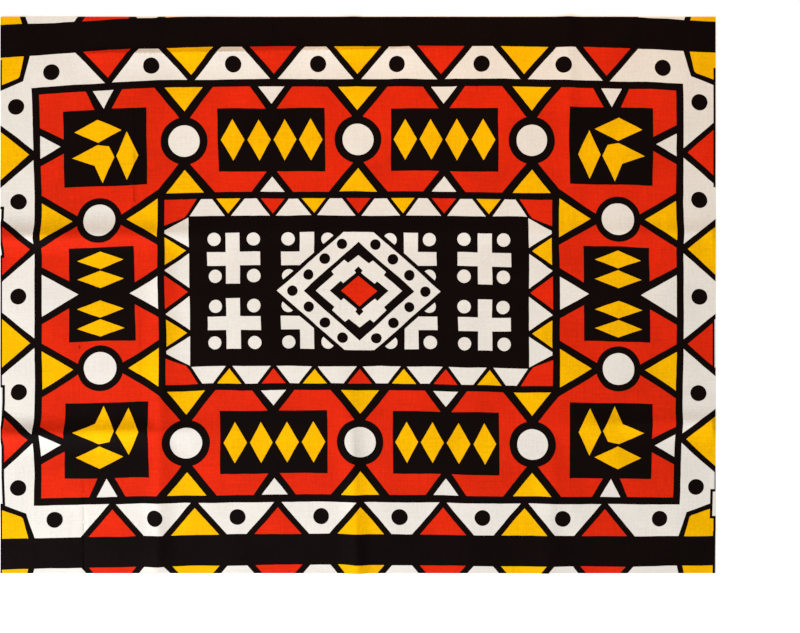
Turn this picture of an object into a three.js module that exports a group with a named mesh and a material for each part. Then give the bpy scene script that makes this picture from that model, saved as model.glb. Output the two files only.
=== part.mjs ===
// A length of African wax print cotton, laid out flat and still holding the ridges of the square
// that it was folded into. One woven piece: two selvedges at the sides, two cut edges.
// Millimetres, +Z up. X runs across the cloth from selvedge to selvedge, Y along its length.
// The origin is the middle of the flat underside.

import * as THREE from 'three';
import { mergeVertices } from 'three/addons/utils/BufferGeometryUtils.js';

// Driving dimensions
const CLOTH_WIDTH = 1175;
const CUT_LENGTH = 914.4;
const WALL = 1;

const SIDE = CLOTH_WIDTH / 2;
const END = CUT_LENGTH / 2;

// How closely the wall follows its ridges
const OPEN_PITCH = 48;
const RIDGE_PITCH = 10;
const LEAST_GAP = 5;

// A ridge's crest is rounded over this share of its width, and the ridge swells and sinks along
// its run by this share of its rise
const CREST = 0.14;
const SWELL = 0.16;

// A selvedge is drawn in by this share of the rise where a ridge runs off it, from where its
// pull begins inside the edge
const DRAW_IN = 0.42;
const DRAW_FROM = 52;

const PRINT_BLACK = 0x17110d;

// Ridges left by the folds. An 'across' ridge runs along X and lies at a height in Y, an 'along'
// ridge runs along Y and lies at a place in X. It goes from one end to the other and fades in and
// out over the two fades, where 0 is a ridge that runs off the edge. Its crest lies at startsAt
// and goes to endsAt, early on the way where the drift is under 1. Each flank has its own width:
// plus is the upper or right one.
const RIDGES = [
  { name: 'upper fold, left', runs: 'across', from: -SIDE, to: -110, startsAt: 94, endsAt: 103,
    drift: 1, rise: 8, plus: 40, minus: 36, fadeIn: 0, fadeOut: 330, swellLength: 210 },
  { name: 'upper fold, middle', runs: 'across', from: -320, to: 400, startsAt: 107, endsAt: 102,
    drift: 1, rise: 1.8, plus: 30, minus: 30, fadeIn: 150, fadeOut: 150, swellLength: 160 },
  { name: 'upper fold, right', runs: 'across', from: 250, to: SIDE, startsAt: 102, endsAt: 103,
    drift: 1, rise: 3.8, plus: 28, minus: 32, fadeIn: 320, fadeOut: 0, swellLength: 170 },
  { name: 'lower fold, left', runs: 'across', from: -SIDE, to: -170, startsAt: -228, endsAt: -220,
    drift: 1, rise: 7.8, plus: 32, minus: 40, fadeIn: 0, fadeOut: 260, swellLength: 190 },
  { name: 'lower fold, right', runs: 'across', from: 250, to: SIDE, startsAt: -214, endsAt: -208,
    drift: 1, rise: 4.6, plus: 28, minus: 40, fadeIn: 230, fadeOut: 0, swellLength: 150 },
  { name: 'fold under the top band', runs: 'across', from: -480, to: 260, startsAt: 394, endsAt: 406,
    drift: 1, rise: 4.2, plus: 14, minus: 44, fadeIn: 60, fadeOut: 230, swellLength: 240 },
  { name: 'left fold', runs: 'along', from: -END, to: 185, startsAt: -332, endsAt: -321,
    drift: 0.3, rise: 5.2, plus: 34, minus: 34, fadeIn: 0, fadeOut: 90, swellLength: 200 },
  { name: 'centre fold, lower', runs: 'along', from: -END, to: -105, startsAt: 0, endsAt: -16,
    drift: 1, rise: 4.6, plus: 28, minus: 34, fadeIn: 0, fadeOut: 150, swellLength: 140 },
  { name: 'centre fold, upper', runs: 'along', from: 290, to: END, startsAt: -4, endsAt: -8,
    drift: 1, rise: 1.2, plus: 28, minus: 28, fadeIn: 120, fadeOut: 0, swellLength: 150 },
  { name: 'right fold, lower', runs: 'along', from: -END, to: -150, startsAt: 312, endsAt: 324,
    drift: 1, rise: 2.2, plus: 34, minus: 34, fadeIn: 0, fadeOut: 190, swellLength: 150 },
  { name: 'right fold, upper', runs: 'along', from: 150, to: END, startsAt: 350, endsAt: 346,
    drift: 1, rise: 2.2, plus: 26, minus: 30, fadeIn: 120, fadeOut: 0, swellLength: 130 },
];

// 0 to 1 with a soft start and end
function ease(share) {
  const held = Math.min(Math.max(share, 0), 1);
  return held * held * (3 - 2 * held);
}

// How much of a ridge is left at a distance from one of its ends
function fade(distance, length) {
  if (distance < 0) return 0;
  return length === 0 ? 1 : ease(distance / length);
}

// Where a ridge's crest lies, at a place along its run
function crestAt(ridge, along) {
  const share = Math.min(Math.max((along - ridge.from) / (ridge.to - ridge.from), 0), 1);
  return ridge.startsAt + (ridge.endsAt - ridge.startsAt) * share ** ridge.drift;
}

// The height of one ridge at a point: a soft crest with flanks that flatten out
function ridgeHeight(ridge, x, y) {
  const along = ridge.runs === 'across' ? x : y;
  const aside = (ridge.runs === 'across' ? y : x) - crestAt(ridge, along);
  const offset = aside / (aside > 0 ? ridge.plus : ridge.minus);
  if (Math.abs(offset) >= 1) return 0;
  const down = (Math.hypot(offset, CREST) - CREST) / (Math.hypot(1, CREST) - CREST);
  const ends = fade(along - ridge.from, ridge.fadeIn) * fade(ridge.to - along, ridge.fadeOut);
  const swell = 1 + SWELL * Math.sin((2 * Math.PI * (along - ridge.from)) / ridge.swellLength);
  return ridge.rise * (1 - down) ** 2 * ends * swell;
}

// The lift of the cloth off the surface: where ridges meet, they run into one another softly
function lift(x, y) {
  const cubes = RIDGES.reduce((sum, ridge) => sum + ridgeHeight(ridge, x, y) ** 3, 0);
  return Math.cbrt(cubes);
}

// Places of the wall's rows or columns: wide apart on open cloth, close together over the bands
// where it bends, each with a place on its crest
function stations(half, bands) {
  const close = [];
  for (const { crest, below, above } of bands) {
    const last = Math.round(above / RIDGE_PITCH);
    for (let i = -Math.round(below / RIDGE_PITCH); i <= last; i += 1) {
      close.push(crest + i * RIDGE_PITCH);
    }
  }
  const apart = (place, others) => others.every((other) => Math.abs(other - place) >= LEAST_GAP);
  const kept = [];
  for (const place of close) {
    if (Math.abs(place) < half - LEAST_GAP && apart(place, kept)) kept.push(place);
  }
  const steps = Math.round((2 * half) / OPEN_PITCH);
  const places = Array.from({ length: steps + 1 }, (_, i) => -half + (2 * half * i) / steps);
  const open = places.filter((place, i) => i === 0 || i === steps || apart(place, kept));
  return [...open, ...kept].sort((a, b) => a - b);
}

// The bands that the ridges of one run take up, drift and all
function ridgeBands(runs) {
  return RIDGES.filter((ridge) => ridge.runs === runs).map((ridge) => {
    const crest = crestAt(ridge, (ridge.from + ridge.to) / 2);
    return {
      crest,
      below: crest - Math.min(ridge.startsAt, ridge.endsAt) + ridge.minus,
      above: Math.max(ridge.startsAt, ridge.endsAt) - crest + ridge.plus,
    };
  });
}

// The cloth: a box of many cells whose points are spread over the stations and lifted alike on
// both faces, so the wall keeps its thickness over the ridges and lies on z = 0 between them
function clothWall() {
  const selvedges = [
    { crest: -SIDE, below: 0, above: DRAW_FROM },
    { crest: SIDE, below: DRAW_FROM, above: 0 },
  ];
  const columns = stations(SIDE, [...ridgeBands('along'), ...selvedges]);
  const rows = stations(END, ridgeBands('across'));
  const across = columns.length - 1;
  const along = rows.length - 1;
  const box = new THREE.BoxGeometry(1, 1, 1, across, along, 1);
  const points = box.attributes.position;
  for (let i = 0; i < points.count; i += 1) {
    const x = columns[Math.round((points.getX(i) + 0.5) * across)];
    const y = rows[Math.round((points.getY(i) + 0.5) * along)];
    const height = lift(x, y);
    const pull = ease((Math.abs(x) - SIDE + DRAW_FROM) / DRAW_FROM);
    const drawn = Math.sign(x) * DRAW_IN * height * pull;
    points.setXYZ(i, x - drawn, y, height + (points.getZ(i) > 0 ? WALL : 0));
  }
  box.deleteAttribute('normal');
  box.deleteAttribute('uv');
  const wall = mergeVertices(box);
  wall.computeVertexNormals();
  return wall;
}

const printedCotton = new THREE.MeshStandardMaterial({
  color: PRINT_BLACK,
  roughness: 0.72,
  metalness: 0,
});

const cloth = new THREE.Mesh(clothWall(), printedCotton);
cloth.name = 'cloth_length';

const length = new THREE.Group();
length.add(cloth);

export default length;
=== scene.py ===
"""A length of African wax print cotton, laid out flat, with its print and its creases.

The print is the old geometric cattle-hide pattern of the dry south-west of Angola. It is drawn
from its own sizes: one quarter is charted in millimetres and mirrored twice, as the rollers that
print it repeat it. The cloth is one thin shell that keeps the ridges of the square it was folded
into. Its faces follow the outlines of the print, so that each face carries one ink.
"""

from math import acos, ceil, copysign, cos, hypot, pi, radians, sin

import bmesh
import bpy
import numpy as np
from bpy.props import FloatProperty, FloatVectorProperty, PointerProperty
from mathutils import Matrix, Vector, noise
from mathutils.geometry import delaunay_2d_cdt
from mathutils.kdtree import KDTree


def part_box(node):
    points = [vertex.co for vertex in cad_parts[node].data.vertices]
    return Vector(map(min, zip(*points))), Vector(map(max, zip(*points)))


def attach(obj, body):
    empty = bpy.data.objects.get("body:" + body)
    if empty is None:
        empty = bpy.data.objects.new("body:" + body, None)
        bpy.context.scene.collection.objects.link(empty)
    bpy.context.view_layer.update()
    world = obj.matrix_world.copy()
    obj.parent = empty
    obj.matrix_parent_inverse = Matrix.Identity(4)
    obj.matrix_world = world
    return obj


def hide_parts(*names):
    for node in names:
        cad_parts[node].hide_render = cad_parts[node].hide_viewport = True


bl_info = {
    "name": "Wax print cloth length",
    "version": (1, 0, 0),
    "blender": (4, 5, 0),
    "location": "View3D > Sidebar > Wax print",
    "description": "Lays out a printed cotton cloth length and its stage",
    "category": "Object",
}

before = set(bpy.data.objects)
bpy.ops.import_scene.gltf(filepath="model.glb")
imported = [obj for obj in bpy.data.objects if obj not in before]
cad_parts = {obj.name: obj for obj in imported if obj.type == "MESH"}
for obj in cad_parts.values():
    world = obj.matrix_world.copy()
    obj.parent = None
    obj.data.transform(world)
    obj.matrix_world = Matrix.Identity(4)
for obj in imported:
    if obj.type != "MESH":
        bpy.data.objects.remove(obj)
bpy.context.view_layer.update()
CLOTH_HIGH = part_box("cloth_length")[1]

MM = 0.001

# The cloth's half width and half length in millimetres, as most of this file's sizes are
SIDE = CLOTH_HIGH.x / MM
END = CLOTH_HIGH.y / MM

# The photograph's frame in pixels, the cloth's middle in it, and what a pixel covers of the cloth
FRAME_ACROSS, FRAME_DOWN = 800, 633
CLOTH_ACROSS, CLOTH_DOWN = 358.0, 295.0
PIXEL = 1.6446 * MM


def linear(code):
    """The linear colour of an sRGB hex code."""
    channels = [int(code[i:i + 2], 16) / 255 for i in (1, 3, 5)]
    return tuple(c / 12.92 if c <= 0.04045 else ((c + 0.055) / 1.055) ** 2.4 for c in channels)


class WaxClothSettings(bpy.types.PropertyGroup):
    """Sizes of the woven cloth."""

    thickness: FloatProperty(
        name="Thickness", description="Thickness of the shell that stands for the cotton",
        default=0.6 * MM, min=0.2 * MM, max=2 * MM, precision=5, unit="LENGTH")
    open_cell: FloatProperty(
        name="Open cell", description="Side of the mesh's cells on open cloth",
        default=8.5 * MM, min=3 * MM, max=30 * MM, precision=4, unit="LENGTH")
    ridge_cell: FloatProperty(
        name="Ridge cell", description="Side of the mesh's cells on a ridge",
        default=4.4 * MM, min=2 * MM, max=30 * MM, precision=4, unit="LENGTH")
    wave: FloatProperty(
        name="Wave", description="Height of the slow waves of cloth that isn't pressed",
        default=1.4 * MM, min=0, max=5 * MM, precision=5, unit="LENGTH")
    rumple: FloatProperty(
        name="Rumple", description="Height of the small hollows between the creases",
        default=0.5 * MM, min=0, max=2 * MM, precision=5, unit="LENGTH")
    wander: FloatProperty(
        name="Wander", description="How far the printed outlines stray from straight",
        default=1.3 * MM, min=0, max=5 * MM, precision=5, unit="LENGTH")


class WaxInkSettings(bpy.types.PropertyGroup):
    """Colours of the print."""

    black: FloatVectorProperty(
        name="Black", description="Ground and line", subtype="COLOR", size=3,
        min=0, max=1, default=linear("#0f0807"))
    red: FloatVectorProperty(
        name="Red", description="Signal red", subtype="COLOR", size=3,
        min=0, max=1, default=linear("#d8280b"))
    yellow: FloatVectorProperty(
        name="Yellow", description="Marigold yellow", subtype="COLOR", size=3,
        min=0, max=1, default=linear("#f2b601"))
    cotton: FloatVectorProperty(
        name="Cotton", description="Bleached cotton where no ink lies", subtype="COLOR", size=3,
        min=0, max=1, default=linear("#e3e0d7"))


class WaxStageSettings(bpy.types.PropertyGroup):
    """Camera, floor and light."""

    camera_height: FloatProperty(
        name="Camera height", description="Height of the lens over the cloth",
        default=1.4, min=0.3, max=10, unit="LENGTH")
    floor: FloatVectorProperty(
        name="Floor", description="Plain pale floor", subtype="COLOR", size=3,
        min=0, max=1, default=linear("#fdfdfd"))
    floor_glow: FloatProperty(
        name="Floor glow", description="Strength of the light from behind the floor",
        default=0.3, min=0, max=5)
    soft_light: FloatProperty(
        name="Soft light", description="Strength of the even light from all round",
        default=0.44, min=0, max=5)
    window_light: FloatProperty(
        name="Window light", description="Power of the wide cool light at the lower left",
        default=208.0, min=0, max=5000, unit="POWER")
    lamp_light: FloatProperty(
        name="Lamp light", description="Power of the small warm light past the upper edge",
        default=4.2, min=0, max=500, unit="POWER")


# The ridges of the folds, as in the part's source, in millimetres. A ridge that runs across lies
# at a height in y, one that runs along lies at a place in x. It drifts from starts_at to ends_at,
# early on the way where the drift is under 1. Each flank has its own width: plus is the upper or
# right one. A fade of 0 runs off the edge.
RIDGES = (
    {"of": "upper fold, left", "runs": "across", "start": -SIDE, "stop": -110,
     "starts_at": 94, "ends_at": 103, "drift": 1, "rise": 8.0, "plus": 40, "minus": 36,
     "fade_in": 0, "fade_out": 330, "swell_length": 210},
    {"of": "upper fold, middle", "runs": "across", "start": -320, "stop": 400,
     "starts_at": 107, "ends_at": 102, "drift": 1, "rise": 1.8, "plus": 30, "minus": 30,
     "fade_in": 150, "fade_out": 150, "swell_length": 160},
    {"of": "upper fold, right", "runs": "across", "start": 250, "stop": SIDE,
     "starts_at": 102, "ends_at": 103, "drift": 1, "rise": 3.8, "plus": 28, "minus": 32,
     "fade_in": 320, "fade_out": 0, "swell_length": 170},
    {"of": "lower fold, left", "runs": "across", "start": -SIDE, "stop": -170,
     "starts_at": -228, "ends_at": -220, "drift": 1, "rise": 7.8, "plus": 32, "minus": 40,
     "fade_in": 0, "fade_out": 260, "swell_length": 190},
    {"of": "lower fold, right", "runs": "across", "start": 250, "stop": SIDE,
     "starts_at": -214, "ends_at": -208, "drift": 1, "rise": 4.6, "plus": 28, "minus": 40,
     "fade_in": 230, "fade_out": 0, "swell_length": 150},
    {"of": "fold under the top band", "runs": "across", "start": -480, "stop": 260,
     "starts_at": 394, "ends_at": 406, "drift": 1, "rise": 4.2, "plus": 14, "minus": 44,
     "fade_in": 60, "fade_out": 230, "swell_length": 240},
    {"of": "left fold", "runs": "along", "start": -END, "stop": 185,
     "starts_at": -332, "ends_at": -321, "drift": 0.3, "rise": 5.2, "plus": 34, "minus": 34,
     "fade_in": 0, "fade_out": 90, "swell_length": 200},
    {"of": "centre fold, lower", "runs": "along", "start": -END, "stop": -105,
     "starts_at": 0, "ends_at": -16, "drift": 1, "rise": 4.6, "plus": 28, "minus": 34,
     "fade_in": 0, "fade_out": 150, "swell_length": 140},
    {"of": "centre fold, upper", "runs": "along", "start": 290, "stop": END,
     "starts_at": -4, "ends_at": -8, "drift": 1, "rise": 1.2, "plus": 28, "minus": 28,
     "fade_in": 120, "fade_out": 0, "swell_length": 150},
    {"of": "right fold, lower", "runs": "along", "start": -END, "stop": -150,
     "starts_at": 312, "ends_at": 324, "drift": 1, "rise": 2.2, "plus": 34, "minus": 34,
     "fade_in": 0, "fade_out": 190, "swell_length": 150},
    {"of": "right fold, upper", "runs": "along", "start": 150, "stop": END,
     "starts_at": 350, "ends_at": 346, "drift": 1, "rise": 2.2, "plus": 26, "minus": 30,
     "fade_in": 120, "fade_out": 0, "swell_length": 130},
)

# A crest is rounded over this share of its width, and it swells by this share of its rise
CREST = 0.14
SWELL = 0.16

# Sharp narrow creases where the folded square was pressed, and where mesh points lie across one,
# in shares of its flanks
PRESS_LINES = (
    {"of": "upper left panel", "runs": "along", "start": 128, "stop": 387,
     "starts_at": -369, "ends_at": -367, "drift": 1, "rise": 1.8, "plus": 2.8, "minus": 11,
     "fade_in": 20, "fade_out": 220, "swell_length": 70},
    {"of": "left panel", "runs": "along", "start": -168, "stop": -3,
     "starts_at": -360, "ends_at": -359, "drift": 1, "rise": 0.7, "plus": 2.8, "minus": 10,
     "fade_in": 50, "fade_out": 50, "swell_length": 60},
    {"of": "lower left corner, a trough", "runs": "along", "start": -END, "stop": -288,
     "starts_at": -450, "ends_at": -451, "drift": 1, "rise": -0.9, "plus": 6, "minus": 1.8,
     "fade_in": 0, "fade_out": 40, "swell_length": 60},
    {"of": "edge of the fold under the top band", "runs": "across", "start": -470, "stop": 190,
     "starts_at": 394.2, "ends_at": 404.9, "drift": 1, "rise": 0.8, "plus": 8, "minus": 2.0,
     "fade_in": 30, "fade_out": 150, "swell_length": 110},
)
PRESS_ROWS = (-1.0, -0.5, 0.0, 0.5, 1.0)

# A selvedge is drawn in by this share of the rise, from where its pull begins inside the edge
DRAW_IN = 0.42
DRAW_FROM = 52.0

# Lengths of the slow waves and of the rumple between the creases, and the noise layer of each
WAVE_LENGTH, WAVE_LAYER = 120.0, 0.3
RUMPLE_LENGTH, RUMPLE_LAYER = 34.0, 5.1


def ease(share):
    """0 to 1 with a soft start and end."""
    held = min(max(share, 0.0), 1.0)
    return held * held * (3 - 2 * held)


def fade(distance, length):
    """How much of a ridge is left at a distance from one of its ends."""
    if distance < 0:
        return 0.0
    return 1.0 if length == 0 else ease(distance / length)


def crest(ridge, along):
    """Where a ridge's crest lies, at a place along its run."""
    share = (along - ridge["start"]) / (ridge["stop"] - ridge["start"])
    drifted = min(max(share, 0), 1) ** ridge["drift"]
    return ridge["starts_at"] + (ridge["ends_at"] - ridge["starts_at"]) * drifted


def ridge_height(ridge, x, y):
    """The height of one ridge at a point: a soft crest with flanks that flatten out."""
    along, aside = (x, y) if ridge["runs"] == "across" else (y, x)
    offset = aside - crest(ridge, along)
    offset /= ridge["plus"] if offset > 0 else ridge["minus"]
    if abs(offset) >= 1:
        return 0.0
    down = (hypot(offset, CREST) - CREST) / (hypot(1, CREST) - CREST)
    ends = fade(along - ridge["start"], ridge["fade_in"])
    ends *= fade(ridge["stop"] - along, ridge["fade_out"])
    swell = 1 + SWELL * sin(2 * pi * (along - ridge["start"]) / ridge["swell_length"])
    return ridge["rise"] * (1 - down) ** 2 * ends * swell


def fold_lift(x, y):
    """The lift of the folds' ridges, which run into one another softly where they meet."""
    return sum(ridge_height(ridge, x, y) ** 3 for ridge in RIDGES) ** (1 / 3)


# The print, in millimetres from its middle, u to the right and v up. Each table charts the
# quarter where both are positive, in the order of painting. What reaches past the frame bar is
# repeated past the mirror line, where the next print starts.
FRAME_BAR = 347.8
MIRROR = 427.5
PAST_SELVEDGE = 602.0

FIELDS = (
    {"of": "panel, inner half", "ink": "red", "corners": (
        (48.2, 163.3), (107.1, 163.3), (133.4, 197.8), (54.3, 197.8), (54.3, 300.8),
        (133.4, 300.8), (107.1, 336.5), (48.5, 336.5), (9.2, 288.1), (8.9, 210.8))},
    {"of": "panel, outer half", "ink": "red", "corners": (
        (150.0, 197.8), (176.3, 163.3), (236.8, 163.3), (275.8, 210.5), (276.3, 286.8),
        (236.8, 336.5), (176.3, 336.5), (150.3, 300.8), (229.9, 300.8), (229.9, 197.8))},
    {"of": "corner, inner part", "ink": "red", "corners": (
        (295.5, 211.0), (329.4, 169.9), (389.9, 131.6), (463.0, 131.6), (522.2, 168.4),
        (522.2, 216.9), (483.5, 237.3), (483.5, 180.1), (347.3, 180.1), (347.3, 304.9),
        (403.4, 304.9), (385.7, 336.5), (333.4, 336.5), (300.6, 296.0), (294.1, 287.1))},
    {"of": "corner, outer part", "ink": "red", "corners": (
        (430.6, 305.0), (483.5, 305.0), (483.5, 259.2), (522.2, 279.9), (522.2, 336.3),
        (444.9, 336.3))},
    {"of": "side panel", "ink": "red", "corners": (
        (330.2, 41.0), (369.9, 17.9), (369.9, 77.8), (476.8, 77.8), (476.8, 22.4),
        (522.2, 47.4), (522.2, 79.6), (463.0, 114.5), (390.6, 114.5), (330.2, 78.4))},
    {"of": "inner corner", "ink": "red", "corners": (
        (265.4, 152.9), (280.4, 129.1), (286.5, 121.5), (319.4, 109.0), (319.4, 152.9))},
    {"of": "inner side, middle", "ink": "cotton", "corners": (
        (279.4, 5.9), (318.4, 35.5), (318.4, 37.2), (279.4, 63.8))},
    {"of": "inner side, end", "ink": "cotton", "corners": (
        (279.4, 72.4), (318.4, 96.4), (318.4, 101.7), (279.4, 122.5))},
    {"of": "inner border, last", "ink": "cotton", "corners": (
        (219.4, 123.8), (278.3, 123.8), (259.2, 152.6), (240.8, 152.6))},
    {"of": "outer corner", "ink": "cotton", "corners": (
        (533.5, 243.1), (600.3, 301.1), (600.3, 340.9), (546.7, 361.0), (534.3, 402.2),
        (459.2, 402.2), (412.5, 347.8), (533.5, 347.8))},
    {"of": "outer corner, at the band", "ink": "yellow", "corners": (
        (543.7, 402.2), (551.6, 369.0), (554.6, 365.8), (PAST_SELVEDGE, 349.6),
        (PAST_SELVEDGE, 402.2))},
    {"of": "outer side, middle", "ink": "cotton", "corners": (
        (533.5, 0.0), (PAST_SELVEDGE, 0.0), (PAST_SELVEDGE, 13.9), (533.5, 71.2))},
    {"of": "outer side, end", "ink": "cotton", "corners": (
        (533.5, 85.8), (PAST_SELVEDGE, 142.5), (PAST_SELVEDGE, 173.6), (533.5, 228.6))},
    {"of": "broken cross", "ink": "cotton", "corners": (
        (97.8, 41.4), (128.9, 41.4), (128.9, 64.5), (97.8, 64.5), (97.8, 96.2),
        (73.7, 96.2), (73.7, 62.2))},
    {"of": "cross, lying arm", "ink": "cotton", "corners": (
        (161.8, 41.4), (250.3, 41.4), (250.3, 64.5), (161.8, 64.5))},
    {"of": "cross, standing arm", "ink": "cotton", "corners": (
        (195.0, 11.8), (219.1, 11.8), (219.1, 96.0), (195.0, 96.0))},
    {"of": "dotted diamond", "ink": "cotton", "corners": (
        (0.0, 0.0), (135.4, 0.0), (24.7, 97.5), (0.0, 97.5))},
    {"of": "dotted diamond, inside", "ink": "black", "corners": (
        (0.0, 0.0), (90.5, 0.0), (0.0, 81.1))},
    {"of": "stepped diamond", "ink": "cotton", "corners": (
        (0.0, 0.0), (71.0, 0.0), (41.1, 26.6), (44.9, 32.1), (23.8, 51.5), (17.4, 46.4),
        (0.0, 59.9))},
    {"of": "stepped diamond, inside", "ink": "black", "corners": (
        (0.0, 0.0), (47.5, 0.0), (29.8, 15.8), (25.8, 12.0), (3.8, 30.1), (6.4, 34.0),
        (0.0, 40.1))},
    {"of": "heart of the diamond", "ink": "red", "corners": (
        (0.0, 0.0), (30.3, 0.0), (0.0, 25.7))},
)

# Rings cut into the red, and the discs and dots on them
ROUNDS = (
    {"of": "rings of the discs", "ink": "black", "radius": 38.3, "centres": (
        (0.0, 249.3), (285.3, 249.2))},
    {"of": "ring of the side disc", "ink": "black", "radius": 37.2, "centres": (
        (426.4, 123.0),)},
    {"of": "discs", "ink": "cotton", "radius": 26.0, "centres": (
        (0.0, 249.3), (285.3, 249.2))},
    {"of": "side disc", "ink": "cotton", "radius": 26.8, "centres": (
        (426.4, 123.0),)},
    {"of": "dots by the crosses", "ink": "cotton", "radius": 11.2, "centres": (
        (172.8, 24.7), (236.8, 24.7), (172.8, 85.2), (238.1, 85.2), (116.6, 85.0))},
    {"of": "dots on the diamond, from its tip", "ink": "black", "radius": 8.4, "centres": (
        (109.5, 0.0), (82.7, 26.3), (55.8, 52.6), (27.6, 77.3))},
    {"of": "dots in the border", "ink": "black", "radius": 13.0, "centres": (
        (64.6, 373.0), (202.8, 373.0), (337.1, 373.0))},
    {"of": "dots in the corner and the side", "ink": "black", "radius": 13.0, "centres": (
        (500.3, 372.2), (560.2, 318.2), (559.8, 159.4), (560.3, 0.0))},
)

# Dots that the dotted diamond cuts off, each at the angle of the cut
CUT_DOTS = (
    {"of": "low cut dot", "centre": (116.1, 24.5), "radius": 11.2, "turn": 49, "cut": 0.9},
    {"of": "high cut dot", "centre": (51.1, 84.5), "radius": 11.2, "turn": 49, "cut": -1.5},
)

DIAMONDS = (
    {"of": "panel", "half_across": 19.4, "half_up": 34.5, "centres": (
        (77.1, 249.5), (119.9, 249.5), (162.7, 249.5), (205.9, 249.5))},
    {"of": "side panel", "half_across": 39.1, "half_up": 14.8, "centres": (
        (425.6, 24.8), (425.5, 56.6))},
    {"of": "corner, standing", "half_across": 18.7, "half_up": 40.0, "centres": (
        (380.0, 228.5),)},
    {"of": "corner, lying", "half_across": 39.4, "half_up": 19.2, "centres": (
        (427.4, 270.0),)},
)

# The corner's third figure, a kite with a bent side
KITE = ((420.9, 184.4), (433.5, 213.8), (470.8, 227.9), (428.7, 247.8), (410.0, 244.4),
        (401.0, 226.3))

# Triangles stand on the middle of their base and point to their tip
TRIANGLES = (
    {"of": "panel, at the inner bar", "ink": "yellow",
     "base": (0.0, 163.3), "half": 31.7, "tip": (0.0, 202.3)},
    {"of": "panel, at the frame", "ink": "yellow",
     "base": (0.0, 336.5), "half": 32.2, "tip": (0.0, 296.9)},
    {"of": "between panels, at the inner bar", "ink": "yellow",
     "base": (285.3, 163.3), "half": 31.7, "tip": (285.3, 202.3)},
    {"of": "between panels, at the frame", "ink": "yellow",
     "base": (285.0, 336.5), "half": 32.2, "tip": (285.0, 296.9)},
    {"of": "panel notch, at the inner bar", "ink": "cotton",
     "base": (141.4, 163.6), "half": 21.0, "tip": (141.3, 189.5)},
    {"of": "panel notch, at the frame", "ink": "cotton",
     "base": (141.4, 336.5), "half": 22.0, "tip": (141.1, 308.4)},
    {"of": "corner notch, at the frame", "ink": "cotton",
     "base": (416.1, 336.5), "half": 17.5, "tip": (416.3, 305.1)},
    {"of": "corner notch, at the side", "ink": "cotton",
     "base": (522.3, 248.4), "half": 19.0, "tip": (488.0, 248.2)},
    {"of": "side, at the inner bar", "ink": "yellow",
     "base": (330.2, 123.2), "half": 32.4, "tip": (382.0, 123.2)},
    {"of": "side, at the frame", "ink": "yellow",
     "base": (522.3, 123.8), "half": 32.4, "tip": (470.4, 123.4)},
    {"of": "side panel notch, at the inner bar", "ink": "cotton",
     "base": (330.2, 0.0), "half": 27.6, "tip": (378.8, 0.0)},
    {"of": "side panel notch, at the frame", "ink": "cotton",
     "base": (522.2, 0.0), "half": 35.5, "tip": (461.5, 0.0)},
    {"of": "inner side", "ink": "yellow",
     "base": (318.4, 67.9), "half": 22.9, "tip": (284.2, 67.8)},
    {"of": "inner side, middle", "ink": "red",
     "base": (319.4, 0.0), "half": 28.3, "tip": (281.7, 0.0)},
)

# The two rows of triangles with cotton between them: where the triangles stand, how they widen
# from tip to base, and how far the cotton keeps from a triangle's middle at both ends
BORDERS = (
    {"of": "inner border", "middles": (0.0, 73.2, 141.3, 214.1),
     "inks": ("red", "yellow", "red", "yellow"),
     "tip": 127.5, "base": 152.9, "half": 20.4,
     "wide_at": 123.8, "wide_gap": 4.3, "narrow_at": 152.6, "narrow_gap": 26.5},
    {"of": "outer border", "middles": (0.0, 136.7, 272.8, 407.8),
     "inks": ("yellow", "red", "yellow", "red"),
     "tip": 356.4, "base": 402.2, "half": 39.2,
     "wide_at": 348.3, "wide_gap": 5.6, "narrow_at": 401.9, "narrow_gap": 51.5},
)

# Triangles at the selvedges, which change colour from one quarter to the next
SIDE_TRIANGLES = (
    {"of": "lower", "ink": "yellow", "turned": "red", "tip": (540.2, 78.1), "middle": 77.1,
     "half": 53.5},
    {"of": "upper", "ink": "red", "turned": "yellow", "tip": (540.6, 237.3), "middle": 239.1,
     "half": 53.2},
)

# Where the print's middle lies on the cloth, and how it is pulled off the square: powers of the
# shares of the framed half sizes, and the shift that they bring
PRINT_MIDDLE = (1.8, 6.4)
FRAMED_HALF = (528.6, 343.1)
PULLS = (
    {"of": "rows bow, low at the selvedges", "across": 2, "up": 0, "right_by": 0, "up_by": -8.3},
    {"of": "rows lie closer in the middle", "across": 0, "up": 2, "right_by": 0, "up_by": 1.5},
    {"of": "rows tilt", "across": 1, "up": 1, "right_by": 0, "up_by": 1.3},
    {"of": "corners droop", "across": 4, "up": 1, "right_by": 0, "up_by": -3.0},
    {"of": "left corners droop more", "across": 3, "up": 2, "right_by": 0, "up_by": 2.4},
    {"of": "columns lie closer", "across": 1, "up": 0, "right_by": -0.8, "up_by": 0},
    {"of": "columns lean", "across": 0, "up": 1, "right_by": -2.4, "up_by": -0.5},
    {"of": "outer columns stand", "across": 2, "up": 1, "right_by": 2.6, "up_by": 0},
    {"of": "corners slide left", "across": 2, "up": 2, "right_by": -2.9, "up_by": 0},
    {"of": "upper corners spread", "across": 1, "up": 3, "right_by": 2.6, "up_by": 0},
)

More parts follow.
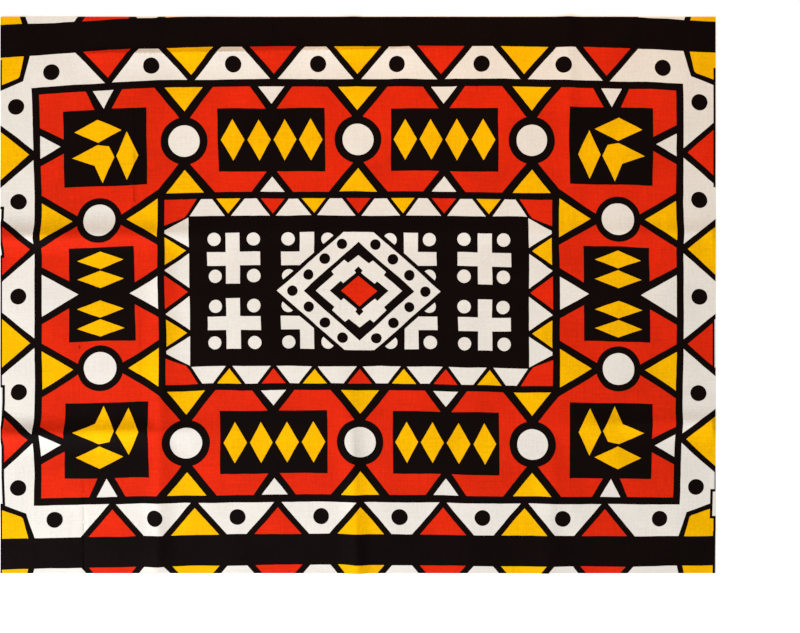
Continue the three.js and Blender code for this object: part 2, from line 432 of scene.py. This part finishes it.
# Where a hand pulled the cloth when it was laid out: a place on the cloth, how far the pull
# reaches, and the shift there
HAND_PULLS = (
    {"of": "upper left corner", "at": (-592, 455), "reach": 100, "right_by": 0, "up_by": 6.0},
    {"of": "upper right corner", "at": (575, 465), "reach": 150, "right_by": 0, "up_by": -3.4},
    {"of": "left of the top border", "at": (-345, 345), "reach": 150, "right_by": 0, "up_by": 1.6},
    {"of": "middle of the top band", "at": (10, 430), "reach": 280, "right_by": 0, "up_by": -1.7},
    {"of": "left side, high", "at": (-440, 160), "reach": 130, "right_by": 0, "up_by": -1.7},
    {"of": "left of the centre", "at": (-210, -20), "reach": 330, "right_by": 0, "up_by": 1.6},
    {"of": "inner border, left", "at": (-317, -74), "reach": 150, "right_by": 1.7, "up_by": 0},
    {"of": "right side", "at": (470, -45), "reach": 150, "right_by": 1.9, "up_by": 0},
    {"of": "lower panels, right", "at": (225, -215), "reach": 190, "right_by": 0, "up_by": -1.6},
    {"of": "right selvedge, low", "at": (560, -210), "reach": 190, "right_by": 0, "up_by": -1.4},
)

# The black is printed last and spreads over the edges of the other inks by this much
SPREAD = 0.3

# The selvedges: a printed line, with bare cotton outside it where it keeps away from the edge. It
# goes through stations, each a height in y and an inset, under 0 where part of the line runs off
# the edge. A closed line also shuts off the bare cotton at its two ends.
SELVEDGE_LINES = (
    {"side": -1, "line": 2.6, "closed": False, "stations": ((386, 0.0), (342, 0.0))},
    {"side": -1, "line": 4.4, "closed": True, "stations": (
        (143, 2.0), (126, 1.4), (112, -1.0), (88, -1.0), (70, 1.9), (63, 1.9))},
    {"side": -1, "line": 2.8, "closed": False, "stations": ((63, 0.0), (-150, 0.0))},
    {"side": -1, "line": 4.3, "closed": True, "stations": (
        (-150, 3.3), (-176, 3.3), (-205, 1.9), (-222, -0.8), (-233, -0.8), (-249, 2.0),
        (-298, 2.0), (-345, 3.6))},
    {"side": -1, "line": 2.7, "closed": False, "stations": ((-345, 0.0), (-460, 0.0))},
    {"side": 1, "line": 3.5, "closed": False, "stations": ((373, 0.0), (177, 0.0))},
    {"side": 1, "line": 3.2, "closed": False, "stations": ((-40, 1.6), (-119, 1.6))},
    {"side": 1, "line": 1.6, "closed": False, "stations": ((-291, 0.0), (-321, 0.0))},
    {"side": 1, "line": 4.2, "closed": True, "stations": ((-321, 4.2), (-365, 5.4))},
    {"side": 1, "line": 3.6, "closed": False, "stations": ((-365, 0.0), (-388, 0.0))},
    {"side": 1, "line": 4.2, "closed": False, "stations": ((-388, 0.2), (-460, 0.7))},
)

# Bare cotton narrower than this is left out
LEAST_BARE = 0.3

# Two edges that turn by less than this go on straight, and points closer than this are one
LEAST_TURN = 0.01
LEAST_APART = 0.05

# Steps along the printed outlines and along the cloth's edge, and the sides of a disc
OUTLINE_STEP = 9.0
EDGE_STEP = 4.4
ROUND_SIDES = 36

# Lengths over which the outlines stray, how much of it is quick, and the noise layer of each way
SLOW_WANDER, QUICK_WANDER = 60.0, 13.0
QUICK_SHARE = 0.3
RIGHT_LAYER, UP_LAYER = 1.5, 7.5

# The mesh between the outlines: how close its rows lie, how far a point keeps from others as a
# share of its cell and beside a crease, and the lift from which the cloth is a ridge
ROW_SHARE = 0.87
ROOM_SHARE = 0.45
CREASE_ROOM = 1.0
LEAST_LIFT = 0.02

# The triangulation's setting that keeps what lies inside its outlines, and how near a point
# counts as on an edge
KEEP_INSIDE = 1
ON_EDGE = 1e-4


def disc(centre, radius, turn=0.0, cut=None):
    """The outline of a disc, or of what a straight cut across the direction of turn keeps."""
    half = pi if cut is None else acos(cut / radius)
    count = ROUND_SIDES if cut is None else ROUND_SIDES + 1
    angles = [radians(turn) - half + 2 * half * i / ROUND_SIDES for i in range(count)]
    return [(centre[0] + radius * cos(a), centre[1] + radius * sin(a)) for a in angles]


def diamond(centre, half_across, half_up):
    """The outline of a diamond that stands or lies straight."""
    u, v = centre
    return [(u + half_across, v), (u, v + half_up), (u - half_across, v), (u, v - half_up)]


def triangle(base, half, tip):
    """A triangle on the middle of its base, which lies square to the way to its tip."""
    toward = (Vector(tip) - Vector(base)).normalized()
    foot = Vector((-toward.y, toward.x)) * half
    return [tuple(Vector(base) + foot), tip, tuple(Vector(base) - foot)]


def border_shapes(row):
    """A border's triangles and the cotton between them."""
    shapes = []
    for middle, ink in zip(row["middles"], row["inks"]):
        shapes.append((ink, triangle((middle, row["base"]), row["half"], (middle, row["tip"]))))
    for left, right in zip(row["middles"], row["middles"][1:]):
        shapes.append(("cotton", [
            (left + row["wide_gap"], row["wide_at"]), (right - row["wide_gap"], row["wide_at"]),
            (right - row["narrow_gap"], row["narrow_at"]),
            (left + row["narrow_gap"], row["narrow_at"])]))
    return shapes


def quarter_shapes():
    """One quarter's inks and outlines in the order of painting: first the ink where both signs
    of the quarter agree, then the ink where they differ."""
    shapes = [(row["ink"], row["ink"], list(row["corners"])) for row in FIELDS]
    for row in BORDERS:
        shapes += [(ink, ink, corners) for ink, corners in border_shapes(row)]
    for row in SIDE_TRIANGLES:
        low, high = row["middle"] - row["half"], row["middle"] + row["half"]
        shapes.append((row["ink"], row["turned"],
                       [(PAST_SELVEDGE, low), (PAST_SELVEDGE, high), row["tip"]]))
    rounds = [(row["ink"], disc(centre, row["radius"]))
              for row in ROUNDS for centre in row["centres"]]
    rounds += [("cotton", disc(row["centre"], row["radius"], row["turn"], row["cut"]))
               for row in CUT_DOTS]
    rounds += [("yellow", diamond(centre, row["half_across"], row["half_up"]))
               for row in DIAMONDS for centre in row["centres"]]
    rounds.append(("yellow", list(KITE)))
    rounds += [(row["ink"], triangle(row["base"], row["half"], row["tip"])) for row in TRIANGLES]
    return shapes + [(ink, ink, corners) for ink, corners in rounds]


def print_shapes():
    """The whole print: the quarter mirrored twice, and the start of the next repeat."""
    shapes = []
    for ink, turned, corners in quarter_shapes():
        for side_u in (1, -1):
            for side_v in (1, -1):
                used = ink if side_u == side_v else turned
                shapes.append((used, [(side_u * u, side_v * v) for u, v in corners]))
                if max(v for _, v in corners) > FRAME_BAR:
                    shapes.append((used, [(side_u * u, side_v * (2 * MIRROR - v))
                                          for u, v in corners]))
    return shapes


def facing_up(outline):
    """The outline turned so that it runs anticlockwise."""
    pairs = zip(outline, outline[1:] + outline[:1])
    area = sum(x0 * y1 - x1 * y0 for (x0, y0), (x1, y1) in pairs)
    return outline if area > 0 else outline[::-1]


def narrowed(corners, by):
    """An outline with its edges moved in. Those on the print's middle lines stay where they are,
    because the next quarter goes on from there."""
    corners = facing_up(corners)
    edges = []
    for at, after in zip(corners, corners[1:] + corners[:1]):
        way = (Vector(after) - Vector(at)).normalized()
        inward = Vector((-way.y, way.x))
        on_middle = at[0] == after[0] == 0 or at[1] == after[1] == 0
        edges.append((inward, inward.dot(Vector(at)) + (0 if on_middle else by)))
    inner = []
    for (left, far), (right, near), at in zip(edges[-1:] + edges[:-1], edges, corners):
        turn = left.x * right.y - left.y * right.x
        if abs(turn) < LEAST_TURN:
            inner.append(tuple(Vector(at) + right * (near - right.dot(Vector(at)))))
        else:
            inner.append(((far * right.y - near * left.y) / turn,
                          (left.x * near - right.x * far) / turn))
    return inner


def stepped(corners, step):
    """An outline with its edges cut into short steps."""
    points = []
    for (x0, y0), (x1, y1) in zip(corners, corners[1:] + corners[:1]):
        count = max(1, ceil(hypot(x1 - x0, y1 - y0) / step))
        points += [(x0 + (x1 - x0) * i / count, y0 + (y1 - y0) * i / count) for i in range(count)]
    return points


def strayed(x, y, wander):
    """A point of an outline, which strays slowly and a little quickly as engraved lines do."""
    def stray(layer):
        slow = noise.noise(Vector((x / SLOW_WANDER, y / SLOW_WANDER, layer)))
        quick = noise.noise(Vector((x / QUICK_WANDER, y / QUICK_WANDER, -layer)))
        return (slow + QUICK_SHARE * quick) * wander

    return x + stray(RIGHT_LAYER), y + stray(UP_LAYER)


def on_cloth(u, v):
    """Where a point of the print lies on the cloth, as it was pulled in printing and folding."""
    across, up = u / FRAMED_HALF[0], v / FRAMED_HALF[1]
    shares = [across ** row["across"] * up ** row["up"] for row in PULLS]
    x = u + PRINT_MIDDLE[0] + sum(s * row["right_by"] for s, row in zip(shares, PULLS))
    y = v + PRINT_MIDDLE[1] + sum(s * row["up_by"] for s, row in zip(shares, PULLS))
    near = [ease(1 - hypot(x - row["at"][0], y - row["at"][1]) / row["reach"])
            for row in HAND_PULLS]
    return (x + sum(s * row["right_by"] for s, row in zip(near, HAND_PULLS)),
            y + sum(s * row["up_by"] for s, row in zip(near, HAND_PULLS)))


def selvedge_shapes():
    """The printed lines along both selvedges and the bare cotton outside them."""
    shapes = []
    for row in SELVEDGE_LINES:
        side, line = row["side"], row["side"] * row["line"]
        half = row["line"] / 2
        edge = side * (SIDE + OUTLINE_STEP)
        stations = [(y, inset, side * (SIDE - inset)) for y, inset in row["stations"]]
        for (y0, inset0, x0), (y1, inset1, x1) in zip(stations, stations[1:]):
            if max(inset0, inset1) > LEAST_BARE:
                shapes.append(("cotton", [(edge, y0), (x0, y0), (x1, y1), (edge, y1)]))
            shapes.append(("black", [(x0, y0), (x0 - line, y0), (x1 - line, y1), (x1, y1)]))
        for y, _, x in (stations[0], stations[-1]) if row["closed"] else ():
            shapes.append(("black", [(edge, y - half), (x - line, y - half),
                                     (x - line, y + half), (edge, y + half)]))
    return shapes


def joined(outlines):
    """The places that the outlines run through, each once, and each outline as a loop of them."""
    places, loops, cells = [], [], {}
    for outline in outlines:
        loop = []
        for x, y in outline:
            column, row = round(x / LEAST_APART), round(y / LEAST_APART)
            near = [cells[c, r] for c in (column - 1, column, column + 1)
                    for r in (row - 1, row, row + 1) if (c, r) in cells]
            place = near[0] if near else len(places)
            if not near:
                cells[column, row] = place
                places.append((x, y))
            if place not in loop:
                loop.append(place)
        loops.append(loop)
    return places, loops


def topmost(middles, outlines):
    """For each point the number of the last outline round it, which is one with an odd number of
    edges to the right of the point."""
    numbers = np.zeros(len(middles), dtype=int)
    for number, outline in enumerate(outlines):
        corners = np.array(outline)
        boxed = (middles > corners.min(axis=0)) & (middles < corners.max(axis=0))
        near = np.flatnonzero(boxed.all(axis=1))
        x, y = middles[near].T
        inside = np.zeros(len(near), dtype=bool)
        for (x0, y0), (x1, y1) in zip(corners, np.roll(corners, -1, axis=0)):
            if y0 != y1:
                passed = x < x0 + (y - y0) * (x1 - x0) / (y1 - y0)
                inside ^= ((y0 > y) != (y1 > y)) & passed
        numbers[near[inside]] = number
    return numbers


def staggered(cell):
    """Points spread over the cloth in rows, each second one half a cell further on."""
    rows = round(2 * END / (cell * ROW_SHARE))
    columns = round(2 * SIDE / cell)
    for row in range(rows):
        y = -END + (row + 0.5) * 2 * END / rows
        for column in range(columns):
            yield -SIDE + (column + 0.25 + 0.5 * (row % 2)) * 2 * SIDE / columns, y


def press_points():
    """Points along the sharp creases, close enough to show them."""
    for line in PRESS_LINES:
        count = ceil((line["stop"] - line["start"]) / OUTLINE_STEP)
        for i in range(1, count):
            along = line["start"] + (line["stop"] - line["start"]) * i / count
            for row in PRESS_ROWS:
                flank = line["plus"] if row > 0 else line["minus"]
                aside = crest(line, along) + row * flank
                yield (along, aside) if line["runs"] == "across" else (aside, along)


def cloth_plan(cloth):
    """The flat cloth as points, faces and each face's ink, in millimetres."""
    edge = [(-SIDE, -END), (SIDE, -END), (SIDE, END), (-SIDE, END)]
    outlines = [stepped(edge, EDGE_STEP)]
    inks = ["black"]
    for ink, corners in print_shapes():
        spread = -SPREAD if ink == "black" else SPREAD
        points = [strayed(*on_cloth(u, v), cloth.wander / MM)
                  for u, v in stepped(narrowed(corners, spread), OUTLINE_STEP)]
        outlines.append(facing_up(points))
        inks.append(ink)
    for ink, corners in selvedge_shapes():
        outlines.append(facing_up(stepped(corners, OUTLINE_STEP)))
        inks.append(ink)

    points, loops = joined(outlines)
    outlines = [[points[i] for i in loop] for loop in loops]
    drawn = KDTree(len(points))
    for i, (x, y) in enumerate(points):
        drawn.insert((x, y, 0), i)
    drawn.balance()

    def clear(x, y, room):
        return drawn.find((x, y, 0))[2] > room

    pressed = [p for p in press_points() if clear(*p, CREASE_ROOM)]
    taken = KDTree(len(pressed))
    for i, (x, y) in enumerate(pressed):
        taken.insert((x, y, 0), i)
    taken.balance()
    points += pressed
    for cell, on_ridge in ((cloth.ridge_cell / MM, True), (cloth.open_cell / MM, False)):
        room = cell * ROOM_SHARE
        for x, y in staggered(cell):
            wanted = (fold_lift(x, y) > LEAST_LIFT) == on_ridge
            if wanted and clear(x, y, room) and taken.find((x, y, 0))[2] > room:
                points.append((x, y))

    flat, _, faces, *_ = delaunay_2d_cdt(
        [Vector(p) for p in points], [], loops, KEEP_INSIDE, ON_EDGE, False)
    middles = np.array(flat)[np.array(faces)].mean(axis=1)
    on_it = (np.abs(middles) < (SIDE, END)).all(axis=1)
    faces = [face for face, kept in zip(faces, on_it) if kept]
    return flat, faces, [inks[number] for number in topmost(middles[on_it], outlines)]


def cloth_height(x, y, cloth):
    """The height of the cloth's underside over the surface, in millimetres."""
    wave = noise.noise(Vector((x / WAVE_LENGTH, y / WAVE_LENGTH, WAVE_LAYER)))
    rumple = noise.noise(Vector((x / RUMPLE_LENGTH, y / RUMPLE_LENGTH, RUMPLE_LAYER)))
    pressed = sum(ridge_height(line, x, y) for line in PRESS_LINES)
    slow = (0.5 + 0.5 * wave) * cloth.wave / MM + (0.5 + 0.5 * rumple) * cloth.rumple / MM
    return max(0.0, fold_lift(x, y) + slow + pressed)


def node(tree, kind, links=None, **settings):
    """Adds a node with its settings. Links give a socket a value or another node's output."""
    made = tree.nodes.new(kind)
    for name, value in settings.items():
        setattr(made, name, value)
    for socket, value in (links or {}).items():
        if isinstance(value, bpy.types.NodeSocket):
            tree.links.new(value, made.inputs[socket])
        else:
            made.inputs[socket].default_value = value
    return made


# Poplin for wax print has a thread each 0.33 mm, too fine for a picture of the whole length, so
# its threads are drawn this many millimetres apart
THREAD = 1.0

# What makes the ink deeper and paler: the size of each pattern in millimetres, how fine and rough
# its noise is, and which of a finish's depths it takes
PATTERNS = (
    {"of": "weft", "across": 46.0, "up": 1.3, "detail": 2.0, "rough": 0.5, "depth": "streak"},
    {"of": "warp", "across": 1.3, "up": 46.0, "detail": 2.0, "rough": 0.5, "depth": "streak"},
    {"of": "mottle", "across": 5.0, "up": 5.0, "detail": 3.0, "rough": 0.6, "depth": "mottle"},
    {"of": "blotch", "across": 70.0, "up": 70.0, "detail": 2.0, "rough": 0.5, "depth": "mottle"},
)

# A noise texture's values lie mostly between these, and a wave texture draws this many bands a unit
NOISE_LOW, NOISE_HIGH = 0.3, 0.7
WAVE_BANDS = 20 / (2 * pi)

# The weave's relief: how far its threads wobble, how much the thicker ones add, its strength and
# its depth
THREAD_WOBBLE = 0.6
SLUB_RELIEF = 0.8
WEAVE_STRENGTH, WEAVE_DEPTH = 0.35, 0.12

# How each ink takes the light, how deep its mottle is and how strong the streaks of its threads
FINISHES = (
    {"ink": "black", "name": "Wax print black on cotton", "roughness": 0.62, "specular": 0.02,
     "sheen": 0.005, "mottle": 0.10, "streak": 0.06},
    {"ink": "red", "name": "Wax print red on cotton", "roughness": 0.66, "specular": 0.03,
     "sheen": 0.015, "mottle": 0.06, "streak": 0.07},
    {"ink": "yellow", "name": "Wax print yellow on cotton", "roughness": 0.68, "specular": 0.02,
     "sheen": 0.015, "mottle": 0.06, "streak": 0.055},
    {"ink": "cotton", "name": "Bleached cotton poplin", "roughness": 0.75, "specular": 0.10,
     "sheen": 0.015, "mottle": 0.03, "streak": 0.03},
)
INKS = [row["ink"] for row in FINISHES]

# A small dark spot in the left panel, from the cloth's lower left corner: its middle, its half
# sizes, how much of the colour it leaves, and the share of the way in where it is full
SPOT_ACROSS, SPOT_UP = 129.5, 371.7
SPOT_HALF_ACROSS, SPOT_HALF_UP = 2.2, 4.8
SPOT_LEAVES = 0.5
SPOT_FULL = 0.5


def printed_cotton(finish, colour):
    """Waxed cotton poplin with one of the print's inks.

    To the eye it is flat and closely woven, with a faint dry gloss from its finish. The ink sits
    in the threads, so it is a shade deeper and paler in slow blotches and in thin streaks along
    thicker threads, and the weave breaks up the light on it.
    """
    material = bpy.data.materials.new(finish["name"])
    material.use_nodes = True
    tree = material.node_tree
    tree.nodes.clear()
    cut = node(tree, "ShaderNodeUVMap", uv_map="cut").outputs["UV"]

    placed = node(tree, "ShaderNodeMapping", {
        "Vector": cut,
        "Location": (-SPOT_ACROSS / SPOT_HALF_ACROSS, -SPOT_UP / SPOT_HALF_UP, 0),
        "Scale": (1 / (SPOT_HALF_ACROSS * MM), 1 / (SPOT_HALF_UP * MM), 1)})
    spot = node(tree, "ShaderNodeTexGradient", {"Vector": placed.outputs["Vector"]},
                gradient_type="SPHERICAL")
    shade = node(tree, "ShaderNodeMapRange", {
        "Value": spot.outputs["Fac"], "From Max": SPOT_FULL, "To Min": 1.0,
        "To Max": SPOT_LEAVES}).outputs["Result"]
    fields = {}
    for row in PATTERNS:
        placed = node(tree, "ShaderNodeMapping", {
            "Vector": cut, "Scale": (1 / (row["across"] * MM), 1 / (row["up"] * MM), 1)})
        fields[row["of"]] = node(tree, "ShaderNodeTexNoise", {
            "Vector": placed.outputs["Vector"], "Scale": 1.0, "Detail": row["detail"],
            "Roughness": row["rough"]}, noise_dimensions="2D").outputs["Fac"]
        depth = finish[row["depth"]]
        part = node(tree, "ShaderNodeMapRange", {
            "Value": fields[row["of"]], "From Min": NOISE_LOW, "From Max": NOISE_HIGH,
            "To Min": 1 - depth, "To Max": 1 + depth})
        shade = node(tree, "ShaderNodeMath", {0: shade, 1: part.outputs["Result"]},
                     operation="MULTIPLY").outputs["Value"]
    tinted = node(tree, "ShaderNodeMix", {
        "Factor": 1.0, "A": (*colour, 1.0)}, data_type="RGBA", blend_type="MULTIPLY",
        clamp_result=True)
    tree.links.new(shade, tinted.inputs["B"])

    threads = []
    for turn in (0.0, pi / 2):
        placed = node(tree, "ShaderNodeMapping", {
            "Vector": cut, "Rotation": (0, 0, turn), "Scale": (1 / MM, 1 / MM, 1)})
        threads.append(node(tree, "ShaderNodeTexWave", {
            "Vector": placed.outputs["Vector"], "Scale": 1 / THREAD / WAVE_BANDS,
            "Distortion": THREAD_WOBBLE, "Detail": 1.0, "Detail Scale": 0.4},
            bands_direction="X").outputs["Fac"])
    weave = node(tree, "ShaderNodeMath", {0: threads[0], 1: threads[1]}, operation="MAXIMUM")
    slubs = node(tree, "ShaderNodeMath", {0: fields["weft"], 1: fields["warp"]}, operation="ADD")
    relief = node(tree, "ShaderNodeMath", {
        0: slubs.outputs["Value"], 1: SLUB_RELIEF, 2: weave.outputs["Value"]},
        operation="MULTIPLY_ADD")
    bump = node(tree, "ShaderNodeBump", {
        "Height": relief.outputs["Value"], "Strength": WEAVE_STRENGTH,
        "Distance": WEAVE_DEPTH * MM})
    poplin = node(tree, "ShaderNodeBsdfPrincipled", {
        "Base Color": tinted.outputs["Result"], "Roughness": finish["roughness"],
        "Specular IOR Level": finish["specular"], "Sheen Weight": finish["sheen"],
        "Sheen Roughness": 0.4, "Normal": bump.outputs["Normal"]})
    node(tree, "ShaderNodeOutputMaterial", {"Surface": poplin.outputs["BSDF"]})
    return material


# Edges of the shell that turn by more than this are sharp: those round its rim
SHARP_FROM = radians(45)


class WAXCLOTH_OT_cloth_length(bpy.types.Operator):
    """Lays out the printed cloth length with the ridges of its folds"""

    bl_idname = "waxcloth.cloth_length"
    bl_label = "Cloth length"

    def execute(self, context):
        cloth, ink = context.scene.wax_cloth, context.scene.wax_inks
        flat, faces, inks = cloth_plan(cloth)
        points = []
        for x, y in flat:
            pull = ease((abs(x) - SIDE + DRAW_FROM) / DRAW_FROM)
            drawn = copysign(DRAW_IN * fold_lift(x, y) * pull, x)
            points.append(((x - drawn) * MM, y * MM, cloth_height(x, y, cloth) * MM))
        mesh = bpy.data.meshes.new("printed_cloth")
        mesh.from_pydata(points, [], faces)
        cut = mesh.uv_layers.new(name="cut")
        for loop in mesh.loops:
            x, y = flat[loop.vertex_index]
            cut.data[loop.index].uv = ((x + SIDE) * MM, (y + END) * MM)
        for row in FINISHES:
            mesh.materials.append(printed_cotton(row, getattr(ink, row["ink"])))
        mesh.polygons.foreach_set("material_index", [INKS.index(name) for name in inks])
        mesh.polygons.foreach_set("use_smooth", [True] * len(faces))

        bm = bmesh.new()
        bm.from_mesh(mesh)
        bmesh.ops.delete(
            bm, geom=[point for point in bm.verts if not point.link_faces], context="VERTS")
        lowest = min(point.co.z for point in bm.verts)
        bmesh.ops.translate(bm, verts=bm.verts, vec=(0, 0, cloth.thickness - lowest))
        bmesh.ops.recalc_face_normals(bm, faces=bm.faces)
        if sum(face.normal.z for face in bm.faces) < 0:
            bmesh.ops.reverse_faces(bm, faces=bm.faces)
        bm.to_mesh(mesh)
        bm.free()

        piece = bpy.data.objects.new("printed_cloth", mesh)
        context.scene.collection.objects.link(piece)
        wall = piece.modifiers.new("Wall", "SOLIDIFY")
        wall.thickness = cloth.thickness
        wall.offset = -1
        context.view_layer.update()
        solid = bpy.data.meshes.new_from_object(
            piece.evaluated_get(context.evaluated_depsgraph_get()))
        piece.modifiers.clear()
        piece.data = solid
        solid.set_sharp_from_angle(angle=SHARP_FROM)
        bpy.data.meshes.remove(mesh)
        solid.name = "printed_cloth"

        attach(piece, "root")
        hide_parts("cloth_length")
        return {"FINISHED"}


# The floor's half size and its gap under the cloth in metres, and the width, the depth and the
# strength of its grain in millimetres
FLOOR_HALF, FLOOR_GAP = 4.0, 0.2 * MM
GRAIN_WIDTH, GRAIN_DEPTH, GRAIN_STRENGTH = 4.0, 0.2, 0.05

# The width of the camera's sensor, in millimetres
SENSOR = 36.0

# The tint of the even light, and the square lights: where each stands and its side in metres, its
# colour and its power's setting
ROOM_TINT = "#fffbf8"
LIGHTS = (
    {"name": "window", "at": (-2.1, -2.9, 1.95), "side": 1.6, "colour": "#f6f8ff",
     "power": "window_light"},
    {"name": "lamp", "at": (0.2, 1.05, 0.6), "side": 0.4, "colour": "#ffb84a",
     "power": "lamp_light"},
)


def studio_floor(colour, glow):
    """Opal acrylic lit from behind, as a copy table has: to the eye an even white ground that
    stays white past the cloth, with a hardly seen grain from its matt side."""
    material = bpy.data.materials.new("Opal acrylic lit from behind")
    material.use_nodes = True
    tree = material.node_tree
    tree.nodes.clear()
    place = node(tree, "ShaderNodeTexCoord").outputs["Object"]
    grain = node(tree, "ShaderNodeTexNoise", {
        "Vector": place, "Scale": 1 / (GRAIN_WIDTH * MM), "Detail": 2.0})
    bump = node(tree, "ShaderNodeBump", {
        "Height": grain.outputs["Fac"], "Strength": GRAIN_STRENGTH,
        "Distance": GRAIN_DEPTH * MM})
    acrylic = node(tree, "ShaderNodeBsdfPrincipled", {
        "Base Color": (*colour, 1), "Roughness": 0.9, "Specular IOR Level": 0.2,
        "Emission Color": (*colour, 1), "Emission Strength": glow,
        "Normal": bump.outputs["Normal"]})
    node(tree, "ShaderNodeOutputMaterial", {"Surface": acrylic.outputs["BSDF"]})
    return material


class WAXCLOTH_OT_stage(bpy.types.Operator):
    """Sets the pale floor, the soft light and the camera straight above"""

    bl_idname = "waxcloth.stage"
    bl_label = "Stage"

    def execute(self, context):
        scene, stage = context.scene, context.scene.wax_stage
        mesh = bpy.data.meshes.new("floor")
        bm = bmesh.new()
        bmesh.ops.create_grid(bm, x_segments=4, y_segments=4, size=FLOOR_HALF)
        bmesh.ops.translate(bm, verts=bm.verts, vec=(0, 0, -FLOOR_GAP))
        bm.to_mesh(mesh)
        bm.free()
        mesh.materials.append(studio_floor(stage.floor, stage.floor_glow))
        floor = bpy.data.objects.new("floor", mesh)
        scene.collection.objects.link(floor)

        for row in LIGHTS:
            light = bpy.data.lights.new(row["name"], "AREA")
            light.shape = "SQUARE"
            light.size = row["side"]
            light.energy = getattr(stage, row["power"])
            light.color = linear(row["colour"])
            lamp = bpy.data.objects.new(row["name"], light)
            lamp.location = row["at"]
            lamp.rotation_mode = "QUATERNION"
            lamp.rotation_quaternion = (-lamp.location).to_track_quat("-Z", "Y")
            scene.collection.objects.link(lamp)

        world = bpy.data.worlds.new("soft room")
        world.use_nodes = True
        air = world.node_tree.nodes["Background"]
        air.inputs["Color"].default_value = (*linear(ROOM_TINT), 1)
        air.inputs["Strength"].default_value = stage.soft_light
        scene.world = world
        scene.view_settings.view_transform = "Standard"

        lens = bpy.data.cameras.new("camera")
        lens.sensor_width = SENSOR
        lens.lens = SENSOR * stage.camera_height / (FRAME_ACROSS * PIXEL)
        camera = bpy.data.objects.new("camera", lens)
        camera.location = ((FRAME_ACROSS / 2 - CLOTH_ACROSS) * PIXEL,
                           (CLOTH_DOWN - FRAME_DOWN / 2) * PIXEL, stage.camera_height)
        scene.collection.objects.link(camera)
        scene.camera = camera
        return {"FINISHED"}


class WAXCLOTH_PT_panel(bpy.types.Panel):
    """Sizes, inks and stage of the cloth length"""

    bl_idname = "WAXCLOTH_PT_panel"
    bl_label = "Wax print"
    bl_space_type = "VIEW_3D"
    bl_region_type = "UI"
    bl_category = "Wax print"

    def draw(self, context):
        layout = self.layout
        for name in SETTINGS:
            box = layout.box()
            group = getattr(context.scene, name)
            for prop in group.bl_rna.properties:
                if prop.identifier not in {"rna_type", "name"}:
                    box.prop(group, prop.identifier)
        for operator in OPERATORS:
            layout.operator(operator.bl_idname)


SETTINGS = {
    "wax_cloth": WaxClothSettings,
    "wax_inks": WaxInkSettings,
    "wax_stage": WaxStageSettings,
}
OPERATORS = (WAXCLOTH_OT_cloth_length, WAXCLOTH_OT_stage)


def register():
    for cls in (*SETTINGS.values(), *OPERATORS, WAXCLOTH_PT_panel):
        bpy.utils.register_class(cls)
    for name, group in SETTINGS.items():
        setattr(bpy.types.Scene, name, PointerProperty(type=group))


def unregister():
    for name in SETTINGS:
        delattr(bpy.types.Scene, name)
    for cls in (WAXCLOTH_PT_panel, *OPERATORS, *SETTINGS.values()):
        bpy.utils.unregister_class(cls)


def main():
    register()
    bpy.ops.waxcloth.cloth_length()
    bpy.ops.waxcloth.stage()


if __name__ == "__main__":
    main()
